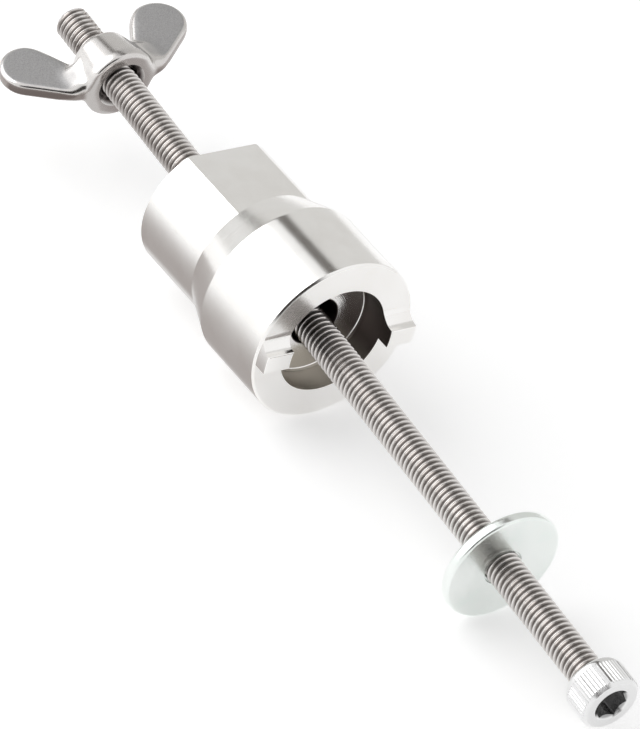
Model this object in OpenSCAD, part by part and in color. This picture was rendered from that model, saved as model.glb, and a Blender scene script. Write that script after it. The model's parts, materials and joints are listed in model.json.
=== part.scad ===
// Two-lug freewheel remover with its holding bolt, wide washer and wing nut.
// The tool lies on its front barrel. The bolt is loose in the through-hole, so its head
// end droops until the rim of the washer meets the surface that the tool lies on.
// +X runs along the socket towards the lugs and the bolt's head, +Z is up, and the
// origin is on the socket's axis, in the plane of its front face. Millimetres.

/* [Socket barrels] */
// Diameter of the front barrel
barrel_d = 30; // [27:0.5:34]
// Length of the front barrel
barrel_l = 15.2; // [12:0.1:24]
// Length of the cone between the two barrels
cone_l = 6.7; // [4:0.1:12]
// Diameter of the rear barrel
rear_d = 25; // [22:0.5:26.5]
// Length of the rear barrel
rear_l = 15.2; // [10:0.1:24]
// Distance across the two wrench flats
flats_w = 21; // [18:0.5:21.5]
// Bevel round the front rim
rim_bevel = 0.35; // [0.2:0.05:0.8]
// Bevel round the rear rim
rear_bevel = 0.6; // [0.2:0.1:1.2]

/* [Socket bores] */
// Diameter of the cavity behind the lugs
cavity_d = 19.4; // [18:0.2:21]
// Depth of the cavity
cavity_depth = 5.2; // [4.6:0.1:9]
// Bevel where the cavity's wall meets its floor
floor_bevel = 0.4; // [0.2:0.1:1]
// Play of the bolt in its through-hole, on the diameter
hole_play = 2.6; // [2.4:0.1:3.4]

/* [Drive lugs] */
// Width of a lug
lug_w = 3.3; // [2.4:0.1:5]
// Height of a lug above the front face
lug_h = 2.5; // [1.5:0.1:3.5]
// Radius of the fillet at a lug's upper foot
lug_fillet = 1.3; // [0.5:0.1:1.5]
// Bevel on a lug's top edges
lug_bevel = 0.25; // [0.1:0.05:0.5]

/* [Bolt] */
// Diameter of the thread
bolt_d = 6; // [5:0.5:8]
// Length of the bolt under its head
bolt_l = 160; // [150:1:190]
// Diameter of the head
head_d = 10.2; // [9.5:0.1:13]
// Height of the head
head_h = 6; // [5:0.5:8]
// Radius of the round collar on the shank side of the head
head_round = 1.1; // [0.5:0.1:1.5]
// Bevel on the head's front rim
head_bevel = 0.45; // [0.2:0.05:0.8]
// Distance across the flats of the hexagon socket
hex_w = 5; // [4:0.5:6]
// Depth of the hexagon socket
hex_depth = 3; // [2:0.5:4]
// Ledge that the drilled floor and the mouth of the hexagon socket leave
hex_ledge = 0.1; // [0.05:0.05:0.2]
// Bevel on the bolt's free end
tip_bevel = 1; // [0.5:0.1:1.2]
// How far the head's face stands ahead of the front face of the socket
head_reach = 83.3; // [76:0.1:92]

/* [Washer] */
// Diameter of the washer
washer_d = 20.5; // [16:0.5:24]
// Thickness of the washer
washer_t = 1.8; // [1:0.1:2.4]
// Play of the washer's hole on the bolt, on the diameter
washer_play = 0.5; // [0.4:0.1:1]
// Radius of the washer's stamped edges
washer_round = 0.5; // [0.2:0.05:0.5]
// How far the washer's far face stands ahead of the front face of the socket
washer_reach = 52; // [40:0.5:60]

/* [Wing nut] */
// Diameter of the hub's foot
hub_d = 13; // [12:0.2:16]
// Diameter of the hub's rear end
hub_top_d = 10; // [9:0.2:11]
// Height of the hub along the bolt
hub_h = 8; // [6:0.2:10]
// Height of the hub's straight foot
hub_foot = 1.6; // [1:0.1:2.5]
// Radius round the hub's foot
foot_round = 0.8; // [0.3:0.1:1]
// Radius round the hub's rear rim
rim_round = 0.8; // [0.4:0.1:1.5]
// Diameter of the countersunk mouth in the foot
mouth_d = 8.6; // [7.6:0.2:10]
// Play of the nut on the bolt, on the diameter
nut_play = 0.12; // [0.1:0.02:0.2]
// Distance between the centres of the two wing lobes
lobe_gap = 25.9; // [24:0.1:30]
// Height of the lobe centres above the foot
lobe_rise = 9.4; // [8:0.1:11]
// Radius of a wing's lobe
lobe_r = 4.8; // [4:0.1:5.4]
// Radius of a wing where it leaves the hub
root_r = 3.1; // [2.6:0.1:3.4]
// How far a wing's waist stands out from the hub
waist_out = 0.6; // [0.2:0.1:1.2]
// Height of a wing's front edge above the foot
waist_lift = 0.3; // [0.1:0.05:0.6]
// Thickness of a wing
wing_t = 2.6; // [2:0.1:3.4]
// Radius round a wing's edges
wing_round = 0.8; // [0.4:0.1:0.9]
// Turn of the wings about the bolt, in degrees
wing_turn = 8.6; // [0:0.2:20]
// Length of bolt that sticks out behind the nut
bolt_stub = 9; // [3:0.5:20]

/* [Lie of the bolt] */
// Sideways swing of the bolt in its hole, in degrees
bolt_swing = -1; // [-1.2:0.1:1.2]
// Gap left between the bolt and the lower edge of its hole
seat_gap = 0.15; // [0.1:0.01:0.2]
// Gap left under the rim of the washer
rest_gap = 0.05; // [0.02:0.01:0.1]

/* [Hidden] */
$fn = 96;
hull_fn = 32;
edge_steps = 4;
eps = 0.01;
over = 1;

barrel_r = barrel_d / 2;
rear_r = rear_d / 2;
cavity_r = cavity_d / 2;
bolt_r = bolt_d / 2;
head_r = head_d / 2;
hole_r = (bolt_d + hole_play) / 2;
washer_r = washer_d / 2;

cone_x = -barrel_l;
rear_x = cone_x - cone_l;
socket_end_x = rear_x - rear_l;

// The bolt lies on the lower edge of its hole, at the cavity's floor, and from there
// it falls until the washer's rim meets the surface below, or the bolt meets the upper
// edge at the hole's rear end.
seat_x = -cavity_depth;
seat_drop = hole_r - bolt_r - seat_gap;
hole_l = seat_x - socket_end_x - rear_bevel;
washer_mid = washer_reach - washer_t / 2;
surface_fall = (barrel_r - washer_r - seat_drop - rest_gap) / (washer_mid - seat_x);
rear_rise = sqrt(max(0, pow(seat_drop, 2) - pow(hole_l * tan(bolt_swing), 2)));
hole_fall = (seat_drop + rear_rise) / hole_l;
droop = atan(min(surface_fall, hole_fall));

tip_x = head_reach - head_h - bolt_l;
nut_foot_x = tip_x + bolt_stub + hub_h;
mouth_r = mouth_d / 2;
nut_bore_r = (bolt_d + nut_play) / 2;

function arc(centre, radius, from, to, steps = 8) =
    [for (i = [0 : steps])
        let (a = from + (to - from) * i / steps)
            centre + radius * [cos(a), sin(a)]];

// Turns a profile drawn as [station along X, radius] about the X axis.
module turned(profile) {
    rotate([0, 90, 0])
        rotate([0, 0, 180])
            rotate_extrude()
                polygon([for (p = profile) [p[1], p[0]]]);
}

// Places what is drawn along X on the bolt's own drooping axis.
module on_bolt() {
    translate([seat_x, 0, -seat_drop])
        rotate([0, droop, bolt_swing])
            translate([-seat_x, 0, 0])
                children();
}

module socket_blank() {
    turned([
        [0, 0],
        [0, barrel_r - rim_bevel],
        [-rim_bevel, barrel_r],
        [cone_x, barrel_r],
        [rear_x, rear_r],
        [socket_end_x + rear_bevel, rear_r],
        [socket_end_x, rear_r - rear_bevel],
        [socket_end_x, 0]
    ]);
}

module socket_bores() {
    turned([
        [eps, 0],
        [eps, cavity_r],
        [floor_bevel - cavity_depth, cavity_r],
        [-cavity_depth, cavity_r - floor_bevel],
        [-cavity_depth, hole_r],
        [socket_end_x + rear_bevel, hole_r],
        [socket_end_x - eps, hole_r + rear_bevel + eps],
        [socket_end_x - eps, 0]
    ]);
}

// The flats are milled on the rear barrel, and stop square at the foot of the cone.
module wrench_flats() {
    for (side = [-1, 1])
        translate([socket_end_x - eps, -rear_d, side > 0 ? flats_w / 2 : -rear_d])
            cube([rear_l + eps, 2 * rear_d, rear_d - flats_w / 2]);
}

// Outline of a lug seen along Y: its upper foot runs out in a fillet, and its top
// edges are broken.
module lug_outline() {
    half = lug_w / 2;
    polygon(concat(
        [[-eps, -half], [lug_h - lug_bevel, -half], [lug_h, lug_bevel - half],
         [lug_h, half - lug_bevel], [lug_h - lug_bevel, half]],
        arc([lug_fillet, half + lug_fillet], lug_fillet, 270, 180),
        [[-eps, half + lug_fillet]]
    ));
}

module lugs() {
    intersection() {
        rotate([90, 0, 0])
            linear_extrude(height = 2 * barrel_d, center = true)
                lug_outline();
        difference() {
            turned([[-over, 0], [-over, barrel_r - rim_bevel],
                    [lug_h + over, barrel_r - rim_bevel], [lug_h + over, 0]]);
            turned([[-2 * over, 0], [-2 * over, cavity_r],
                    [lug_h + 2 * over, cavity_r], [lug_h + 2 * over, 0]]);
        }
    }
}

module remover_socket() {
    color("gainsboro")
        union() {
            difference() {
                socket_blank();
                socket_bores();
                wrench_flats();
            }
            lugs();
        }
}

// The hexagon socket has a drilled point at its floor and a countersunk mouth.
module hex_socket() {
    floor_x = head_reach - hex_depth;
    drill_r = hex_w / 2 - hex_ledge;
    hex_r = hex_w / 2 / cos(30);
    hex_mouth_r = hex_r + hex_ledge;
    mouth_x = head_reach - hex_mouth_r + drill_r;
    translate([floor_x, 0, 0])
        rotate([0, 90, 0])
            cylinder(r = hex_r, h = hex_depth + over, $fn = 6);
    turned([[floor_x - drill_r / 2, 0], [floor_x, drill_r], [floor_x + over, drill_r], [floor_x + over, 0]]);
    turned([[mouth_x, 0], [mouth_x, drill_r], [head_reach + over, hex_mouth_r + over], [head_reach + over, 0]]);
}

module clamp_bolt() {
    under_head = head_reach - head_h;
    color("darkgray")
        on_bolt()
            difference() {
                turned(concat(
                    [[tip_x, 0], [tip_x, bolt_r - tip_bevel], [tip_x + tip_bevel, bolt_r], [under_head, bolt_r]],
                    arc([under_head + head_round, head_r - head_round], head_round, 180, 90),
                    [[head_reach - head_bevel, head_r], [head_reach, head_r - head_bevel], [head_reach, 0]]
                ));
                hex_socket();
            }
}

module washer() {
    far = washer_reach;
    near = washer_reach - washer_t;
    inner = bolt_r + washer_play / 2;
    color("honeydew")
        on_bolt()
            turned(concat(
                [[near, inner]],
                arc([near + washer_round, washer_r - washer_round], washer_round, 180, 90),
                arc([far - washer_round, washer_r - washer_round], washer_round, 90, 0),
                [[far, inner]]
            ));
}

// A flat round puck with rounded edges, lying in the plane of the wings.
module wing_puck(radius) {
    rotate_extrude($fn = hull_fn)
        polygon(concat(
            [[0, -wing_t / 2]],
            arc([radius - wing_round, wing_round - wing_t / 2], wing_round, 270, 360, edge_steps),
            arc([radius - wing_round, wing_t / 2 - wing_round], wing_round, 0, 90, edge_steps),
            [[0, wing_t / 2]]
        ));
}

// A wing narrows from its lobe to its waist, and widens again into the hub. It is drawn
// in the XY plane, with the foot of the nut on the Y axis.
module wing() {
    lobe = [-lobe_rise, lobe_gap / 2];
    waist = [-root_r - waist_lift, hub_d / 2 + waist_out];
    root = [-root_r - waist_lift, bolt_d];
    hull() {
        translate(lobe)
            wing_puck(lobe_r);
        translate(waist)
            wing_puck(root_r);
    }
    hull() {
        translate(waist)
            wing_puck(root_r);
        translate(root)
            wing_puck(root_r);
    }
}

module wing_nut() {
    color("silver")
        on_bolt()
            translate([nut_foot_x, 0, 0])
                rotate([wing_turn, 0, 0])
                    difference() {
                        union() {
                            turned(concat(
                                [[0, 0]],
                                arc([-foot_round, hub_d / 2 - foot_round], foot_round, 0, 90),
                                [[-hub_foot, hub_d / 2]],
                                arc([rim_round - hub_h, hub_top_d / 2 - rim_round], rim_round, 90, 180),
                                [[-hub_h, 0]]
                            ));
                            wing();
                            mirror([0, 1, 0])
                                wing();
                        }
                        turned([
                            [over, 0],
                            [over, mouth_r + over],
                            [nut_bore_r - mouth_r, nut_bore_r],
                            [-hub_h - over, nut_bore_r],
                            [-hub_h - over, 0]
                        ]);
                    }
}

remover_socket();
clamp_bolt();
washer();
wing_nut();
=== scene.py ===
"""Freewheel remover on its holding bolt, with a wide washer and a wing nut.

Each piece is modelled in millimetres about its own axis, with +X towards the drive lugs,
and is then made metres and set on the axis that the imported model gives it.
"""

import json
import math

import bmesh
import bpy
from mathutils import Matrix, Vector


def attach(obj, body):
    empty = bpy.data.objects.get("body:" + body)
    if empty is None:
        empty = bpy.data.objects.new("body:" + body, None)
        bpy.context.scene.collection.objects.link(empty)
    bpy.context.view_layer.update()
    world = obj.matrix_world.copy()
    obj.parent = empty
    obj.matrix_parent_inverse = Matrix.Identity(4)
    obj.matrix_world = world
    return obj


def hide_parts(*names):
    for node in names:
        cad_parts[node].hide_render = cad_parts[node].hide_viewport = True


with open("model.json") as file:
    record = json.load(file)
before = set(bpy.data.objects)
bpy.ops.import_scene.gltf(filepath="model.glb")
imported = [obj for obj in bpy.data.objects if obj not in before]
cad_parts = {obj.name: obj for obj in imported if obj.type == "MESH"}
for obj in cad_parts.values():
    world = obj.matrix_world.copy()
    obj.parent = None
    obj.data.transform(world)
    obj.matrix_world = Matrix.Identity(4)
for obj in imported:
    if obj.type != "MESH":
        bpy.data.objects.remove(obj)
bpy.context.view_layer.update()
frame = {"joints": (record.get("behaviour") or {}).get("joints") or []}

MM = 0.001
bpy.ops.object.select_all(action="DESELECT")
joints = {joint["name"]: joint for joint in frame["joints"]}

# Sizes, in millimetres

# The socket's stations lie along its own axis, from the plane of its front face.
BARREL_R, REAR_R, CAVITY_R, HOLE_R = 15.0, 12.5, 9.7, 4.3
CONE_X, REAR_X, END_X, FLOOR_X = -15.2, -21.9, -37.1, -5.2
FLAT_Z = 10.5
RIM_BEVEL, REAR_BEVEL, HOLE_BEVEL, FLOOR_BEVEL = 0.35, 0.15, 0.6, 0.4
CONE_ROUND = 0.8
SOCKET_STEPS = 240

# A lug's upper foot runs out along a quarter of an ellipse, LUG_SWEEP wide and LUG_RISE high.
LUG_HALF, LUG_H, LUG_SWEEP, LUG_RISE = 1.65, 2.5, 2.4, 2.15
LUG_ROUND, LUG_RIM_ROUND = 0.2, 0.35
LUG_SINK, LUG_WALL_PLAY, SWEEP_STEPS = 0.5, 0.02, 16

# A holding edge this far from a rounded corner keeps the face beside it flat to the eye.
HOLDING = 0.04

# The bolt's stations lie along its own drooping axis.
BOLT_R, PITCH, ROOT_R = 3.0, 1.0, 2.42
TIP_X, UNDER_HEAD_X, HEAD_FACE_X = -82.7, 77.3, 83.3
TIP_BEVEL, THREAD_STEPS = 1.0, 32
HEAD_R, HEAD_BEVEL, COLLAR_L, COLLAR_ROUND = 5.1, 0.62, 1.25, 1.0
KNURL_RIBS, KNURL_DEPTH, KNURL_RAMP, RIB_COLUMNS = 54, 0.18, 0.2, 4
HEX_W, HEX_DEPTH, HEX_MOUTH_R, HEX_MOUTH_DEPTH = 5.0, 3.0, 3.07, 0.62

WASHER_R, WASHER_NEAR_X, WASHER_FAR_X, WASHER_HOLE_R = 10.25, 49.9, 52.0, 3.25
WASHER_NEAR_ROUND, WASHER_FAR_ROUND = 0.9, 0.5

NUT_FOOT_X, NUT_BORE_R, MOUTH_R = -65.7, 3.06, 4.3
HUB_R, HUB_TOP_R, HUB_H, HUB_FOOT = 6.5, 5.0, 8.0, 1.6
LOBE, LOBE_R = (-9.4, 12.3), 4.8
WAIST, ROOT, WAIST_R = (-3.4, 7.1), (-3.4, 5.0), 3.1
WING_T, WING_ROUND, WING_TURN = 2.6, 0.8, 12.2
# A neck is a wedge between the hub and a wing, as thick as NECK_T at the hub.
NECK_FAR, NECK_FAR_R = (-3.6, 7.8), 2.3
NECK_NEAR, NECK_NEAR_R = (-3.6, 3.6), 3.1
NECK_T, NECK_THINNED = 6.4, 0.34
CAST_VOXEL, CAST_SMOOTHING, NECK_SMOOTHING = 0.16, 10, 160

# How far a cutter reaches past what it cuts.
PAST = 1.0

# The bolt's axis
axis = Vector(joints["nut_spin"]["axis"]).normalized()
axis_point = Vector(joints["nut_spin"]["pos_m"])
droop = math.asin(-axis.z)
swing = math.atan2(axis.y, axis.x)
axis_turn = Matrix.Rotation(swing, 4, "Z") @ Matrix.Rotation(droop, 4, "Y")
ON_BOLT = (
    Matrix.Translation(axis_point)
    @ axis_turn
    @ Matrix.Scale(MM, 4)
    @ Matrix.Translation((-NUT_FOOT_X, 0, 0))
)
WINGS_TURNED = Matrix.Rotation(math.radians(WING_TURN), 4, "X")
ON_NUT = ON_BOLT @ Matrix.Translation((NUT_FOOT_X, 0, 0)) @ WINGS_TURNED
ON_SOCKET = Matrix.Scale(MM, 4)


# Modelling by hand
def pick(piece, wanted):
    """Selects the vertices that wanted() takes, in edit mode, and nothing else."""
    bpy.ops.mesh.select_all(action="DESELECT")
    work = bmesh.from_edit_mesh(piece.data)
    for vertex in work.verts:
        vertex.select = bool(wanted(vertex))
    work.select_flush(True)
    bmesh.update_edit_mesh(piece.data)


def radius(point):
    return math.hypot(point[1], point[2])


def rounded(corners, segments=3, closed=True):
    """The points of a profile whose corners (station, radius, rounding) are rounded."""
    points, count = [], len(corners)
    for i, (x, r, rounding) in enumerate(corners):
        here = Vector((x, r))
        if not rounding or (not closed and i in (0, count - 1)):
            points.append(here)
            continue
        before = Vector(corners[i - 1][:2]) - here
        after = Vector(corners[(i + 1) % count][:2]) - here
        half = before.angle(after) / 2
        reach = rounding / math.tan(half)
        centre = here + (before.normalized() + after.normalized()).normalized() * (
            rounding / math.sin(half)
        )
        start = here + before.normalized() * reach - centre
        end = here + after.normalized() * reach - centre
        turn = start.angle_signed(end)
        points.append(centre + start + before.normalized() * HOLDING)
        for k in range(segments + 1):
            points.append(centre + Matrix.Rotation(-turn * k / segments, 2) @ start)
        points.append(centre + end + after.normalized() * HOLDING)
    return points


def drawn(name, points, closed):
    """A chain of edges through points, in edit mode: one vertex, extruded point by point."""
    bpy.ops.mesh.primitive_plane_add(size=1, location=points[0])
    piece = bpy.context.object
    piece.name = piece.data.name = name
    bpy.ops.object.transform_apply(location=True)
    bpy.ops.object.mode_set(mode="EDIT")
    bpy.ops.mesh.select_mode(type="VERT")
    bpy.ops.mesh.select_all(action="SELECT")
    bpy.ops.mesh.merge(type="CENTER")
    for here, there in zip(points, points[1:]):
        step = tuple(b - a for a, b in zip(here, there))
        bpy.ops.mesh.extrude_vertices_move(TRANSFORM_OT_translate={"value": step})
    if closed:
        ends = Vector(points[0]), Vector(points[-1])
        pick(piece, lambda v: min((v.co - end).length for end in ends) < 1e-5)
        bpy.ops.mesh.edge_face_add()
    bpy.ops.mesh.select_all(action="SELECT")
    return piece


def turned(name, profile, steps, closed=True):
    """A piece turned about the X axis from a profile of stations and radii."""
    piece = drawn(name, [(p[0], 0, p[1]) for p in profile], closed)
    bpy.ops.mesh.spin(
        steps=steps, angle=2 * math.pi, center=(0, 0, 0), axis=(1, 0, 0), use_auto_merge=True
    )
    bpy.ops.mesh.select_all(action="SELECT")
    bpy.ops.mesh.remove_doubles(threshold=1e-4)
    bpy.ops.mesh.normals_make_consistent(inside=False)
    bpy.ops.object.mode_set(mode="OBJECT")
    return piece


def plate(name, outline, thickness, along):
    """A flat piece: an outline made a face and extruded to both sides along a direction."""
    offset = Vector(along) * (-thickness / 2)
    piece = drawn(name, [tuple(Vector(p) + offset) for p in outline], True)
    bpy.ops.mesh.edge_face_add()
    bpy.ops.mesh.extrude_region_move(
        TRANSFORM_OT_translate={"value": tuple(Vector(along) * thickness)}
    )
    bpy.ops.mesh.select_all(action="SELECT")
    bpy.ops.mesh.normals_make_consistent(inside=False)
    bpy.ops.object.mode_set(mode="OBJECT")
    return piece


def make_active(piece):
    bpy.ops.object.select_all(action="DESELECT")
    piece.select_set(True)
    bpy.context.view_layer.objects.active = piece


def modify(piece, kind, **settings):
    """Adds a modifier and applies it."""
    make_active(piece)
    modifier = piece.modifiers.new(kind.title(), kind)
    for name, value in settings.items():
        setattr(modifier, name, value)
    bpy.ops.object.modifier_apply(modifier=modifier.name)


def combine(piece, other, operation):
    """Joins, cuts or intersects a piece with another, which is used up."""
    modify(piece, "BOOLEAN", operation=operation, solver="EXACT", object=other)
    bpy.data.objects.remove(other, do_unlink=True)


def joined(pieces):
    make_active(pieces[0])
    for other in pieces[1:]:
        other.select_set(True)
    bpy.ops.object.join()
    return pieces[0]


def finished(piece, place, body, node, material, sharp=30):
    """Sets a piece in its place, in metres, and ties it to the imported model."""
    make_active(piece)
    piece.matrix_world = place
    bpy.ops.object.transform_apply(location=True, rotation=True, scale=True)
    bpy.ops.object.shade_smooth_by_angle(angle=math.radians(sharp))
    piece.data.materials.clear()
    piece.data.materials.append(material)
    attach(piece, body)
    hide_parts(node)


# Shader nodes
class Nodes:
    """Short ways to add and link the nodes of one material, group or world."""

    def __init__(self, tree):
        self.tree = tree

    def add(self, kind, inputs=None, **settings):
        """A new node, with its settings, and its inputs given a value or a link."""
        node = self.tree.nodes.new(kind)
        for name, value in settings.items():
            setattr(node, name, value)
        for name, value in (inputs or {}).items():
            self.put(node, name, value)
        return node

    def put(self, node, name, value):
        socket = node.inputs[name]
        if isinstance(value, bpy.types.NodeSocket):
            self.tree.links.new(value, socket)
        else:
            socket.default_value = value

    def math(self, operation, *values):
        node = self.add("ShaderNodeMath", operation=operation)
        for i, value in enumerate(values):
            self.put(node, i, value)
        return node.outputs[0]

    def vector(self, operation, *values):
        node = self.add("ShaderNodeVectorMath", operation=operation)
        for i, value in enumerate(values):
            self.put(node, "Scale" if operation == "SCALE" and i == 1 else i, value)
        return node.outputs["Value" if operation in ("DOT_PRODUCT", "LENGTH") else "Vector"]

    def spread(self, value, low, high, to_low=0.0, to_high=1.0, smooth=True):
        """A value that goes from to_low to to_high while the given one goes from low to high."""
        node = self.add(
            "ShaderNodeMapRange", interpolation_type="SMOOTHSTEP" if smooth else "LINEAR"
        )
        for name, number in zip(range(5), (value, low, high, to_low, to_high)):
            self.put(node, name, number)
        return node.outputs[0]

    def place(self):
        """Object coordinates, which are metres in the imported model's frame."""
        return self.add("ShaderNodeTexCoord").outputs["Object"]

    def split(self, vector):
        return self.add("ShaderNodeSeparateXYZ", {0: vector}).outputs

    def mix(self, factor, first, second):
        node = self.add("ShaderNodeMix", data_type="RGBA")
        for name, value in ((0, factor), (6, first), (7, second)):
            self.put(node, name, value)
        return node.outputs[2]

    def noise(self, where, scale, detail, rough):
        node = self.add(
            "ShaderNodeTexNoise",
            {"Vector": where, "Scale": scale, "Detail": detail, "Roughness": rough},
        )
        return node.outputs["Fac"]


def shader_group(name, inputs, outputs):
    """An empty group with its sockets, and what its input and output nodes hold."""
    group = bpy.data.node_groups.new(name, "ShaderNodeTree")
    for socket, kind, value in inputs:
        item = group.interface.new_socket(socket, in_out="INPUT", socket_type=kind)
        item.default_value = value
    for socket, kind in outputs:
        group.interface.new_socket(socket, in_out="OUTPUT", socket_type=kind)
    nodes = Nodes(group)
    return nodes, nodes.add("NodeGroupInput").outputs, nodes.add("NodeGroupOutput")


def lathe_marks():
    """Fine rings left by a cutting tool about a piece's axis, with slow unevenness."""
    nodes, given, out = shader_group(
        "lathe marks",
        [
            ("Point", "NodeSocketVector", (0, 0, 0)),
            ("Direction", "NodeSocketVector", (1, 0, 0)),
            ("Rings per metre", "NodeSocketFloat", 6000.0),
        ],
        [(output, "NodeSocketFloat") for output in ("Along", "Radius", "Rings")],
    )
    offset = nodes.vector("SUBTRACT", nodes.place(), given["Point"])
    along = nodes.vector("DOT_PRODUCT", offset, given["Direction"])
    foot = nodes.vector("SCALE", given["Direction"], along)
    reach = nodes.vector("LENGTH", nodes.vector("SUBTRACT", offset, foot))
    flat = nodes.add("ShaderNodeCombineXYZ", {"X": along, "Y": reach}).outputs[0]
    rings = nodes.noise(flat, given["Rings per metre"], 3.0, 0.65)
    nodes.put(out, "Along", along)
    nodes.put(out, "Radius", reach)
    nodes.put(out, "Rings", rings)
    return nodes.tree


def handling():
    """Broad faint stains and fine speckle, as on metal that has been handled."""
    nodes, given, out = shader_group(
        "handling",
        [("Broad", "NodeSocketFloat", 150.0), ("Fine", "NodeSocketFloat", 2500.0)],
        [("Stain", "NodeSocketFloat"), ("Speckle", "NodeSocketFloat")],
    )
    place = nodes.place()
    nodes.put(out, "Stain", nodes.noise(place, given["Broad"], 3.0, 0.55))
    nodes.put(out, "Speckle", nodes.noise(place, given["Fine"], 2.0, 0.6))
    return nodes.tree


LATHE_MARKS, HANDLING = lathe_marks(), handling()


def metal(name):
    """A material with its nodes, its Principled shader, and the handling group placed."""
    material = bpy.data.materials.new(name)
    material.use_nodes = True
    nodes = Nodes(material.node_tree)
    shader = material.node_tree.nodes["Principled BSDF"]
    shader.inputs["Metallic"].default_value = 1.0
    wear = nodes.add("ShaderNodeGroup", node_tree=HANDLING)
    return material, nodes, shader, wear


def bump(nodes, shader, height, distance, strength=1.0):
    """Raises and sinks the surface by a height, to a distance in millimetres."""
    node = nodes.add(
        "ShaderNodeBump", {"Height": height, "Distance": distance * MM, "Strength": strength}
    )
    nodes.put(shader, "Normal", node.outputs[0])


def plated_steel():
    """Satin nickel and chrome plating over turned rings, and bare steel in the bores, with painted
    shade that darkens it towards the top.
    """
    material, nodes, shader, wear = metal("plated steel")
    marks = nodes.add("ShaderNodeGroup", node_tree=LATHE_MARKS)
    tone = nodes.spread(wear.outputs["Stain"], 0.3, 0.7)
    plated = nodes.mix(tone, (0.87, 0.855, 0.835, 1), (0.91, 0.90, 0.885, 1))
    along, reach = marks.outputs["Along"], marks.outputs["Radius"]
    in_wall = nodes.spread(reach, (CAVITY_R + 0.02) * MM, (CAVITY_R + 0.05) * MM, 1.0, 0.0)
    behind = nodes.spread(along, (FLOOR_X + 0.08) * MM, (FLOOR_X + 0.14) * MM)
    wall = nodes.math("MULTIPLY", in_wall, behind)
    hole = nodes.spread(reach, (HOLE_R + 0.1) * MM, (HOLE_R + 0.3) * MM, 1.0, 0.0)
    bare = nodes.math("MAXIMUM", wall, hole)
    # Painted shade: the bare bore and hole go from light steel near the bottom to near black
    # towards the top.
    shaded_towards_top = nodes.spread(nodes.split(nodes.place())["Z"], -9 * MM, -3 * MM)
    dark = nodes.mix(shaded_towards_top, (0.50, 0.46, 0.40, 1), (0.075, 0.06, 0.055, 1))
    nodes.put(shader, "Base Color", nodes.mix(bare, plated, dark))
    fine = nodes.math("MULTIPLY_ADD", marks.outputs["Rings"], 0.06, 0.10)
    satin = nodes.math("MULTIPLY_ADD", wear.outputs["Speckle"], 0.06, fine)
    nodes.put(shader, "Roughness", nodes.math("MULTIPLY_ADD", bare, 0.3, satin))
    bump(nodes, shader, marks.outputs["Rings"], 0.012)
    return material


def rolled_stainless():
    """Bright rolled crests, duller roots darkened by some grime and painted shade, and a brighter
    head with painted shade in its hexagon socket.
    """
    material, nodes, shader, wear = metal("rolled stainless")
    marks = nodes.add(
        "ShaderNodeGroup",
        {"Point": axis_point, "Direction": axis, "Rings per metre": 9000.0},
        node_tree=LATHE_MARKS,
    )
    crest = nodes.spread(marks.outputs["Radius"], (ROOT_R + 0.1) * MM, (BOLT_R - 0.03) * MM)
    head_along = (UNDER_HEAD_X - NUT_FOOT_X) * MM
    on_head = nodes.spread(marks.outputs["Along"], head_along - 0.1 * MM, head_along + 0.3 * MM)
    crest = nodes.math("MAXIMUM", crest, on_head)
    rolled = nodes.mix(wear.outputs["Stain"], (0.66, 0.63, 0.61, 1), (0.78, 0.76, 0.745, 1))
    hexagon_r = HEX_W / 2
    # Painted shade: the head is darker in and around its hexagon socket.
    head_with_shaded_hexagon = nodes.spread(
        marks.outputs["Radius"], (hexagon_r + 0.2) * MM, (hexagon_r + 0.5) * MM, 0.36, 0.80
    )
    tone = nodes.mix(on_head, rolled, head_with_shaded_hexagon)
    # Grime and painted shade: the thread roots are darkened towards a near black brown.
    shade_darkened = nodes.mix(0.75, tone, (0.13, 0.11, 0.10, 1))
    nodes.put(shader, "Base Color", nodes.mix(crest, shade_darkened, tone))
    dull = nodes.spread(crest, 0.0, 1.0, 0.32, 0.10)
    nodes.put(shader, "Roughness", nodes.math("MULTIPLY_ADD", wear.outputs["Speckle"], 0.08, dull))
    bump(nodes, shader, marks.outputs["Rings"], 0.008)
    return material


def zinc_plate():
    """Bright zinc with a faint green cast and a fine crystalline mottle."""
    material, nodes, shader, wear = metal("zinc plate")
    tone = nodes.spread(wear.outputs["Stain"], 0.35, 0.65)
    nodes.put(shader, "Base Color", nodes.mix(tone, (0.83, 0.87, 0.845, 1), (0.90, 0.93, 0.91, 1)))
    nodes.put(shader, "Roughness", nodes.math("MULTIPLY_ADD", wear.outputs["Speckle"], 0.16, 0.16))
    bump(nodes, shader, wear.outputs["Speckle"], 0.02, 0.6)
    return material


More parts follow.
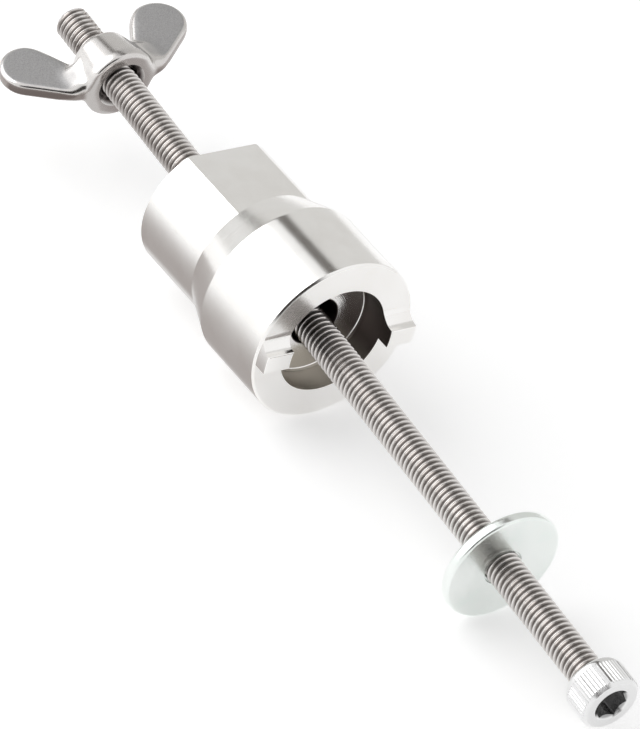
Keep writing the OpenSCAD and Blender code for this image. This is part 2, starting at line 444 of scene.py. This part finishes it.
def cast_stainless():
    """Sandblasted wing faces with darker edges, a polished hub, and painted shade in the bore's
    countersunk mouth.
    """
    material, nodes, shader, wear = metal("cast stainless")
    wing_normal = axis_turn @ WINGS_TURNED @ Vector((0, 0, 1))
    facing = nodes.add("ShaderNodeTexCoord").outputs["Normal"]
    flat = nodes.math("ABSOLUTE", nodes.vector("DOT_PRODUCT", facing, wing_normal))
    marks = nodes.add(
        "ShaderNodeGroup", {"Point": axis_point, "Direction": axis}, node_tree=LATHE_MARKS
    )
    reach = marks.outputs["Radius"]
    on_wing = nodes.spread(reach, (HUB_R - 0.3) * MM, (HUB_R + 0.7) * MM)
    blasted = nodes.math("MULTIPLY", nodes.spread(flat, 0.90, 0.985), on_wing)
    side = nodes.math("MULTIPLY", nodes.spread(flat, 0.2, 0.5, 1.0, 0.0), on_wing)
    grit = nodes.noise(nodes.place(), 5200.0, 2.0, 0.7)
    grain = nodes.spread(grit, 0.3, 0.7)
    matte = nodes.mix(grain, (0.35, 0.345, 0.35, 1), (0.48, 0.475, 0.475, 1))
    bright = nodes.mix(wear.outputs["Stain"], (0.60, 0.575, 0.56, 1), (0.74, 0.725, 0.71, 1))
    edged = nodes.mix(side, bright, (0.33, 0.295, 0.28, 1))
    # Painted shade: the countersunk mouth around the bolt is darkened to near black.
    mouth = nodes.spread(reach, (BOLT_R + 0.7) * MM, (MOUTH_R + 0.1) * MM, 1.0, 0.0)
    shade_darkened = nodes.mix(mouth, edged, (0.10, 0.085, 0.08, 1))
    nodes.put(shader, "Base Color", nodes.mix(blasted, shade_darkened, matte))
    nodes.put(shader, "Roughness", nodes.spread(blasted, 0.0, 1.0, 0.2, 0.5))
    bump(nodes, shader, nodes.math("MULTIPLY", grit, blasted), 0.04)
    return material


# The socket
def lug_outline():
    """Outline of a lug seen along Y, from its lower side to the end of its upper foot."""
    outline = rounded([
        (-LUG_SINK, -LUG_HALF, 0),
        (LUG_H, -LUG_HALF, LUG_ROUND),
        (LUG_H, LUG_HALF, LUG_ROUND),
        (LUG_RISE, LUG_HALF, 0),
    ])
    for k in range(1, SWEEP_STEPS + 1):
        turn = k / SWEEP_STEPS * math.pi / 2
        rise = LUG_RISE * (1 - math.sin(turn))
        outline.append((rise, LUG_HALF + LUG_SWEEP * (1 - math.cos(turn))))
    outline.append((-LUG_SINK, LUG_HALF + LUG_SWEEP))
    return outline


def make_lugs():
    """Both lugs: what their outline, drawn along Y, leaves standing of a ring."""
    outline = [(x, 0, z) for x, z in lug_outline()]
    lugs = plate("lugs", outline, 2.2 * BARREL_R, (0, 1, 0))
    foot, inner, outer = 0.1 - LUG_SINK, CAVITY_R + LUG_WALL_PLAY, BARREL_R - RIM_BEVEL
    ring = turned(
        "lug ring",
        rounded([
            (foot, inner, 0),
            (LUG_H, inner, LUG_ROUND),
            (LUG_H, outer, LUG_RIM_ROUND),
            (foot, outer, 0),
        ]),
        SOCKET_STEPS,
    )
    combine(lugs, ring, "INTERSECT")
    return lugs


def make_socket():
    """One turned bar: barrels, cone, cavity and hole; then its flats and its lugs."""
    flats_end = REAR_X - 0.05
    socket = turned(
        "turned_socket",
        rounded([
            (END_X, HOLE_R + HOLE_BEVEL, 0.08),
            (END_X, REAR_R - REAR_BEVEL, 0.04),
            (END_X + REAR_BEVEL, REAR_R, 0.04),
            (flats_end, REAR_R, 0),
            (REAR_X, REAR_R, 0),
            (CONE_X, BARREL_R, CONE_ROUND),
            (-RIM_BEVEL, BARREL_R, 0.12),
            (0, BARREL_R - RIM_BEVEL, 0.1),
            (0, CAVITY_R, 0.08),
            (FLOOR_X + FLOOR_BEVEL, CAVITY_R, 0.1),
            (FLOOR_X, CAVITY_R - FLOOR_BEVEL, 0.1),
            (FLOOR_X, HOLE_R, 0.12),
            (END_X + HOLE_BEVEL, HOLE_R, 0),
        ]),
        SOCKET_STEPS,
    )
    make_active(socket)
    bpy.ops.object.mode_set(mode="EDIT")
    for side in (1, -1):
        pick(socket, lambda v: v.co.x < flats_end + 0.01 and v.co.z * side > FLAT_Z - 0.03)
        bpy.ops.transform.resize(value=(1, 1, 0), center_override=(0, 0, side * FLAT_Z))
    bpy.ops.object.mode_set(mode="OBJECT")
    combine(socket, make_lugs(), "UNION")
    return socket


# The bolt
def make_head():
    """The head: a round collar, a straight knurl, a bevelled rim and a hexagon socket."""
    knurl_x, bevel_x = UNDER_HEAD_X + COLLAR_L, HEAD_FACE_X - HEAD_BEVEL
    head = turned(
        "head",
        rounded(
            [
                (UNDER_HEAD_X, 0, 0),
                (UNDER_HEAD_X, BOLT_R + 0.02, 0),
                (UNDER_HEAD_X, HEAD_R, COLLAR_ROUND),
                (knurl_x, HEAD_R, 0),
                (knurl_x + KNURL_RAMP, HEAD_R, 0),
                (bevel_x, HEAD_R, 0),
                (bevel_x + KNURL_DEPTH, HEAD_R - KNURL_DEPTH, 0),
                (HEAD_FACE_X, HEAD_R - HEAD_BEVEL, 0.1),
                (HEAD_FACE_X, 0, 0),
            ],
            segments=6,
            closed=False,
        ),
        RIB_COLUMNS * KNURL_RIBS,
        closed=False,
    )
    cut_knurl(head, knurl_x + KNURL_RAMP / 2, bevel_x + 0.01)
    cut_hexagon(head)
    return head


def cut_knurl(head, start, end):
    """Sinks one column of points in each rib's width, between two stations."""
    column = 2 * math.pi / (RIB_COLUMNS * KNURL_RIBS)

    def in_groove(vertex):
        if not start < vertex.co.x < end or radius(vertex.co) < HEAD_R - 0.1:
            return False
        return round(math.atan2(vertex.co.y, vertex.co.z) / column) % RIB_COLUMNS == 0

    make_active(head)
    bpy.ops.object.mode_set(mode="EDIT")
    pick(head, in_groove)
    shrink = 1 - KNURL_DEPTH / HEAD_R
    bpy.ops.transform.resize(value=(1, shrink, shrink), center_override=(0, 0, 0))
    bpy.ops.object.mode_set(mode="OBJECT")


def cut_hexagon(head):
    """Cuts the hexagon socket, and the cone that its mouth is bevelled with."""
    depth = HEX_DEPTH + PAST
    bpy.ops.mesh.primitive_cylinder_add(
        vertices=6,
        radius=HEX_W / 2 / math.cos(math.radians(30)),
        depth=depth,
        location=(HEAD_FACE_X - HEX_DEPTH + depth / 2, 0, 0),
        rotation=(0, math.pi / 2, 0),
    )
    hexagon = bpy.context.object
    bpy.ops.object.transform_apply(location=True, rotation=True)
    combine(head, hexagon, "DIFFERENCE")
    bottom, top = HEAD_FACE_X - HEX_MOUTH_DEPTH, HEAD_FACE_X + PAST / 2
    mouth = turned(
        "hexagon mouth",
        [
            (bottom, 0),
            (bottom, HEX_MOUTH_R - HEX_MOUTH_DEPTH),
            (top, HEX_MOUTH_R + PAST / 2),
            (top, 0),
        ],
        96,
        closed=False,
    )
    combine(head, mouth, "DIFFERENCE")


def make_thread():
    """A rolled thread, cut to length, with its tip rounded over."""
    half = [
        (0.0, ROOT_R),
        (0.07, ROOT_R + 0.01),
        (0.12, ROOT_R + 0.05),
        (0.145, ROOT_R + 0.095),
        (0.375, BOLT_R - 0.095),
        (0.395, BOLT_R - 0.055),
        (0.425, BOLT_R - 0.025),
        (0.455, BOLT_R - 0.01),
        (PITCH / 2, BOLT_R),
    ]
    pitch_profile = half + [(PITCH - x, r) for x, r in half[-2::-1]]
    start = TIP_X - 2 * PITCH
    thread = drawn("threaded_bolt", [(start + x, 0, r) for x, r in pitch_profile], False)
    bpy.ops.object.mode_set(mode="OBJECT")
    modify(
        thread,
        "SCREW",
        axis="X",
        angle=2 * math.pi,
        screw_offset=PITCH,
        iterations=round((UNDER_HEAD_X - start) / PITCH) + 2,
        steps=THREAD_STEPS,
        render_steps=THREAD_STEPS,
        use_merge_vertices=True,
        merge_threshold=1e-4,
    )
    make_active(thread)
    bpy.ops.object.mode_set(mode="EDIT")
    bpy.ops.mesh.select_all(action="SELECT")
    bpy.ops.mesh.remove_doubles(threshold=1e-4)
    bpy.ops.mesh.select_all(action="SELECT")
    bpy.ops.mesh.bisect(
        plane_co=(TIP_X, 0, 0), plane_no=(-1, 0, 0), clear_outer=True, use_fill=True
    )
    bpy.ops.mesh.select_all(action="SELECT")
    bpy.ops.mesh.bisect(plane_co=(UNDER_HEAD_X, 0, 0), plane_no=(1, 0, 0), clear_outer=True)
    bpy.ops.object.mode_set(mode="OBJECT")
    for vertex in thread.data.vertices:
        short = min(1.0, (TIP_X + TIP_BEVEL - vertex.co.x) / TIP_BEVEL)
        if short <= 0:
            continue
        limit = BOLT_R - TIP_BEVEL * (1 - math.sqrt(1 - short**2))
        if radius(vertex.co) > limit:
            vertex.co.y, vertex.co.z = (c * limit / radius(vertex.co) for c in vertex.co.yz)
    return thread


def make_bolt():
    """The thread, bridged to the head."""
    thread, head = make_thread(), make_head()
    make_active(head)
    bpy.ops.object.mode_set(mode="EDIT")
    pick(head, lambda v: abs(v.co.x - UNDER_HEAD_X) < 1e-3 and radius(v.co) < 0.01)
    bpy.ops.mesh.delete(type="VERT")
    bpy.ops.object.mode_set(mode="OBJECT")
    bolt = joined([thread, head])
    bpy.ops.object.mode_set(mode="EDIT")
    bpy.ops.mesh.select_all(action="DESELECT")
    work = bmesh.from_edit_mesh(bolt.data)
    for edge in work.edges:
        under_head = all(abs(v.co.x - UNDER_HEAD_X) < 1e-2 for v in edge.verts)
        edge.select = edge.is_boundary and under_head
    bmesh.update_edit_mesh(bolt.data)
    bpy.ops.mesh.select_mode(type="EDGE")
    bpy.ops.mesh.bridge_edge_loops()
    bpy.ops.mesh.select_all(action="SELECT")
    bpy.ops.mesh.normals_make_consistent(inside=False)
    bpy.ops.mesh.select_mode(type="VERT")
    bpy.ops.object.mode_set(mode="OBJECT")
    return bolt


# The washer
def make_washer():
    """A stamped washer: rolled over on its near side, and sharper on its far side."""
    return turned(
        "stamped_washer",
        rounded(
            [
                (WASHER_NEAR_X, WASHER_HOLE_R, 0.3),
                (WASHER_NEAR_X, WASHER_R, WASHER_NEAR_ROUND),
                (WASHER_FAR_X, WASHER_R, WASHER_FAR_ROUND),
                (WASHER_FAR_X, WASHER_HOLE_R, 0.2),
            ],
            segments=5,
        ),
        192,
    )


# The wing nut
def tongue(far, far_r, near, near_r, steps=20):
    """Outline round two circles, in the XY plane."""
    far, near = Vector(far), Vector(near)
    line = far - near
    heading = math.atan2(line.y, line.x)
    lean = math.acos((near_r - far_r) / line.length)
    points = []
    for centre, r, start, turn in (
        (far, far_r, heading - lean, 2 * lean),
        (near, near_r, heading + lean, 2 * math.pi - 2 * lean),
    ):
        for k in range(steps + 1):
            a = start + turn * k / steps
            points.append((centre.x + r * math.cos(a), centre.y + r * math.sin(a), 0))
    return points


def make_wing(far, far_r, near, near_r):
    """One plate of a wing, with rounded edges."""
    wing = plate("wing", tongue(far, far_r, near, near_r), WING_T, (0, 0, 1))
    modify(
        wing,
        "BEVEL",
        width=WING_ROUND,
        segments=4,
        limit_method="ANGLE",
        angle_limit=math.radians(60),
    )
    return wing


def make_neck(side):
    """A wedge from the hub into a wing: thick at the hub, and thinned at its far end."""
    far, near = (NECK_FAR[0], side * NECK_FAR[1]), (NECK_NEAR[0], side * NECK_NEAR[1])
    neck = plate("neck", tongue(far, NECK_FAR_R, near, NECK_NEAR_R), NECK_T, (0, 0, 1))
    middle = (NECK_FAR[1] + NECK_NEAR[1]) / 2
    make_active(neck)
    bpy.ops.object.mode_set(mode="EDIT")
    pick(neck, lambda v: abs(v.co.y) > middle)
    bpy.ops.transform.resize(value=(1, 1, NECK_THINNED), center_override=(0, 0, 0))
    bpy.ops.object.mode_set(mode="OBJECT")
    return neck


def share(value, none, whole):
    """0 where a value is none, 1 where it is whole, and evenly between them."""
    return min(max((value - none) / (whole - none), 0), 1)


def melt(nut):
    """Makes one skin of the parts, smooths it, and blends the necks into hub and wings."""
    modify(nut, "REMESH", mode="VOXEL", voxel_size=CAST_VOXEL)
    modify(nut, "SMOOTH", factor=0.5, iterations=CAST_SMOOTHING)
    blend = nut.vertex_groups.new(name="blend")
    for vertex in nut.data.vertices:
        aside, height = abs(vertex.co.y), abs(vertex.co.z)
        on_neck = share(aside, 3.5, 5.0) * share(aside, 10.5, 8.5) * share(height, 4.2, 3.0)
        blend.add([vertex.index], on_neck, "REPLACE")
    modify(nut, "SMOOTH", factor=0.5, iterations=NECK_SMOOTHING, vertex_group=blend.name)


def make_wing_nut():
    """Hub, wings and necks melted into one casting, which is then bored and countersunk."""
    hub = turned(
        "cast_wing_nut",
        rounded(
            [
                (0, 0, 0),
                (0, HUB_R, 0.8),
                (-HUB_FOOT, HUB_R, 0.6),
                (-HUB_H, HUB_TOP_R, 0.8),
                (-HUB_H, 0, 0),
            ],
            segments=5,
            closed=False,
        ),
        128,
        closed=False,
    )
    parts = [hub]
    for side in (1, -1):
        lobe, waist, root = ((x, side * y) for x, y in (LOBE, WAIST, ROOT))
        parts.append(make_wing(lobe, LOBE_R, waist, WAIST_R))
        parts.append(make_wing(waist, WAIST_R, root, WAIST_R + 1e-3))
        parts.append(make_neck(side))
    nut = joined(parts)
    melt(nut)
    bore = turned(
        "bore",
        [
            (PAST, 0),
            (PAST, MOUTH_R + PAST),
            (NUT_BORE_R - MOUTH_R, NUT_BORE_R),
            (-HUB_H - PAST, NUT_BORE_R),
            (-HUB_H - PAST, 0),
        ],
        96,
        closed=False,
    )
    combine(nut, bore, "DIFFERENCE")
    return nut


# Making and placing
socket, bolt, washer, wing_nut = make_socket(), make_bolt(), make_washer(), make_wing_nut()
finished(socket, ON_SOCKET, "socket", "remover_socket", plated_steel(), sharp=19)
finished(bolt, ON_BOLT, "bolt", "clamp_bolt", rolled_stainless())
finished(washer, ON_BOLT, "washer", "washer", zinc_plate())
finished(wing_nut, ON_NUT, "nut", "wing_nut", cast_stainless())


# Floor, light and camera
def make_floor():
    """A plain white table, which keeps the soft shadow under the tool."""
    bpy.ops.mesh.primitive_grid_add(
        x_subdivisions=4, y_subdivisions=4, size=3, location=(0, 0, -BARREL_R * MM)
    )
    floor = bpy.context.object
    floor.name = "table"
    bpy.ops.object.transform_apply(location=True)
    material = bpy.data.materials.new("white table")
    material.use_nodes = True
    nodes = Nodes(material.node_tree)
    shader = material.node_tree.nodes["Principled BSDF"]
    shader.inputs["Base Color"].default_value = (0.86, 0.86, 0.86, 1)
    shader.inputs["Roughness"].default_value = 0.8
    shader.inputs["Specular IOR Level"].default_value = 0.1
    seen = seen_ray(nodes)
    nodes.put(shader, "Emission Color", (1, 1, 1, 1))
    nodes.put(shader, "Emission Strength", nodes.math("MULTIPLY", seen, 0.38))
    floor.data.materials.append(material)


def seen_ray(nodes):
    """1 for a ray that the eye follows: from the camera, or through gloss or glass."""
    path = nodes.add("ShaderNodeLightPath").outputs
    either = nodes.math("MAXIMUM", path["Is Camera Ray"], path["Is Glossy Ray"])
    return nodes.math("MAXIMUM", either, path["Is Transmission Ray"])


def make_sky():
    """White where it is seen, and a plain even light on everything else."""
    world = bpy.data.worlds.new("white room")
    bpy.context.scene.world = world
    world.use_nodes = True
    nodes = Nodes(world.node_tree)
    shader = world.node_tree.nodes["Background"]
    nodes.put(shader, "Color", (1, 1, 1, 1))
    nodes.put(shader, "Strength", nodes.spread(seen_ray(nodes), 0, 1, 0.55, 1.0, smooth=False))


def softbox(name, place, size, power):
    """A round lamp, in metres, that points at the tool."""
    light = bpy.data.lights.new(name, "AREA")
    light.shape, light.size, light.energy = "DISK", size, power
    lamp = bpy.data.objects.new(name, light)
    bpy.context.scene.collection.objects.link(lamp)
    lamp.location = place
    lamp.rotation_euler = (-Vector(place)).to_track_quat("-Z", "Y").to_euler()


def reflector(name, start, turn, stations, distance, brightness, fade=0.0):
    """A curved card about the X axis that only polished metal sees, to shape its gloss.

    Its colour fades to white over a share of its turn, at both edges.
    """
    start, turn = math.radians(start), math.radians(turn)
    y, z = distance * math.cos(start), distance * math.sin(start)
    card = drawn(name, [(x, y, z) for x in stations], False)
    # About +X, spin turns the other way from the angles here.
    bpy.ops.mesh.spin(steps=24, angle=-turn, center=(0, 0, 0), axis=(1, 0, 0))
    bpy.ops.object.mode_set(mode="OBJECT")
    nodes, shader = gloss_only(card, brightness)
    if fade:
        parts = nodes.split(nodes.place())
        angle = nodes.math("ARCTAN2", parts["Z"], parts["Y"])
        off_middle = nodes.math("ABSOLUTE", nodes.math("SUBTRACT", angle, start + turn / 2))
        white = nodes.spread(off_middle, turn * (0.5 - fade), turn * 0.5)
        nodes.put(shader, "Emission Color", nodes.mix(white, (*brightness, 1), (1, 1, 1, 1)))


def gloss_only(card, brightness):
    """A black piece that glows with a colour, and is seen by polished metal alone."""
    material = bpy.data.materials.new(card.name)
    material.use_nodes = True
    nodes = Nodes(material.node_tree)
    shader = material.node_tree.nodes["Principled BSDF"]
    shader.inputs["Base Color"].default_value = (0, 0, 0, 1)
    shader.inputs["Specular IOR Level"].default_value = 0.0
    shader.inputs["Emission Color"].default_value = (*brightness, 1)
    shader.inputs["Emission Strength"].default_value = 1.0
    card.data.materials.append(material)
    card.visible_camera = card.visible_diffuse = card.visible_shadow = False
    return nodes, shader


def painted_contact_shadow():
    """What the metal sees of the table close by, as a painted contact shadow: dark beside the
    tool, with painted light right under it, and light beyond.
    """
    width, shortened, middle_x, above = 120, 0.66, -40.5, 0.03
    bpy.ops.mesh.primitive_grid_add(x_subdivisions=4, y_subdivisions=4, size=width * MM)
    card = bpy.context.object
    card.name = "contact card"
    bpy.ops.transform.resize(value=(shortened, 1, 1))
    card.location = (middle_x * MM, 0, (above - BARREL_R) * MM)
    bpy.ops.object.transform_apply(location=True, scale=True)
    nodes, shader = gloss_only(card, (1, 1, 1))
    # Painted shadow beside the tool, and a painted light strip right under it, seen only in
    # reflections.
    aside = nodes.math("ABSOLUTE", nodes.split(nodes.place())["Y"])
    beyond = nodes.spread(aside, 14 * MM, 58 * MM)
    under = nodes.spread(aside, 7 * MM, 11 * MM, 1.0, 0.0)
    light = nodes.math("MAXIMUM", beyond, nodes.math("MULTIPLY", under, 0.6))
    nodes.put(shader, "Emission Color", nodes.mix(light, (0.44, 0.41, 0.40, 1), (1, 1, 1, 1)))


def make_camera():
    """The photograph's view of the tool: direction, roll, distance and lens."""
    azimuth, elevation, roll = (math.radians(angle) for angle in (45.70, 35.38, 17.19))
    distance, aside, upward, lens = 1191.7, -1.96, -3.75, 424.31
    back = Vector((
        math.sin(azimuth) * math.cos(elevation),
        -math.cos(azimuth) * math.cos(elevation),
        math.sin(elevation),
    ))
    level = Vector((math.cos(azimuth), math.sin(azimuth), 0))
    upright = back.cross(level)
    right = math.cos(roll) * level + math.sin(roll) * upright
    up = math.cos(roll) * upright - math.sin(roll) * level
    data = bpy.data.cameras.new("camera")
    data.sensor_fit, data.sensor_width, data.lens = "HORIZONTAL", 36, lens
    data.clip_start, data.clip_end = 0.1, 10
    camera = bpy.data.objects.new("camera", data)
    bpy.context.scene.collection.objects.link(camera)
    where = (aside * right + upward * up + distance * back) * MM
    camera.matrix_world = Matrix((
        (right.x, up.x, back.x, where.x),
        (right.y, up.y, back.y, where.y),
        (right.z, up.z, back.z, where.z),
        (0, 0, 0, 1),
    ))
    bpy.context.scene.camera = camera


make_floor()
make_sky()
softbox("key softbox", (-0.64, -0.68, 0.62), 1.3, 7.5)
reflector("grey card", 0, 70, (-6.0, 0.1), 1.1, (0.72, 0.715, 0.70))
reflector("black card", 70, 14, (-6.0, 0.1), 1.1, (0.14, 0.13, 0.12))
reflector("rear card", 84, 98, (-6.0, -2.6), 1.1, (0.72, 0.72, 0.71))
reflector("front card", 80, 102, (0.4, 1.7), 0.9, (0.035, 0.03, 0.028), 0.16)
painted_contact_shadow()
make_camera()
bpy.context.scene.view_settings.view_transform = "Standard"
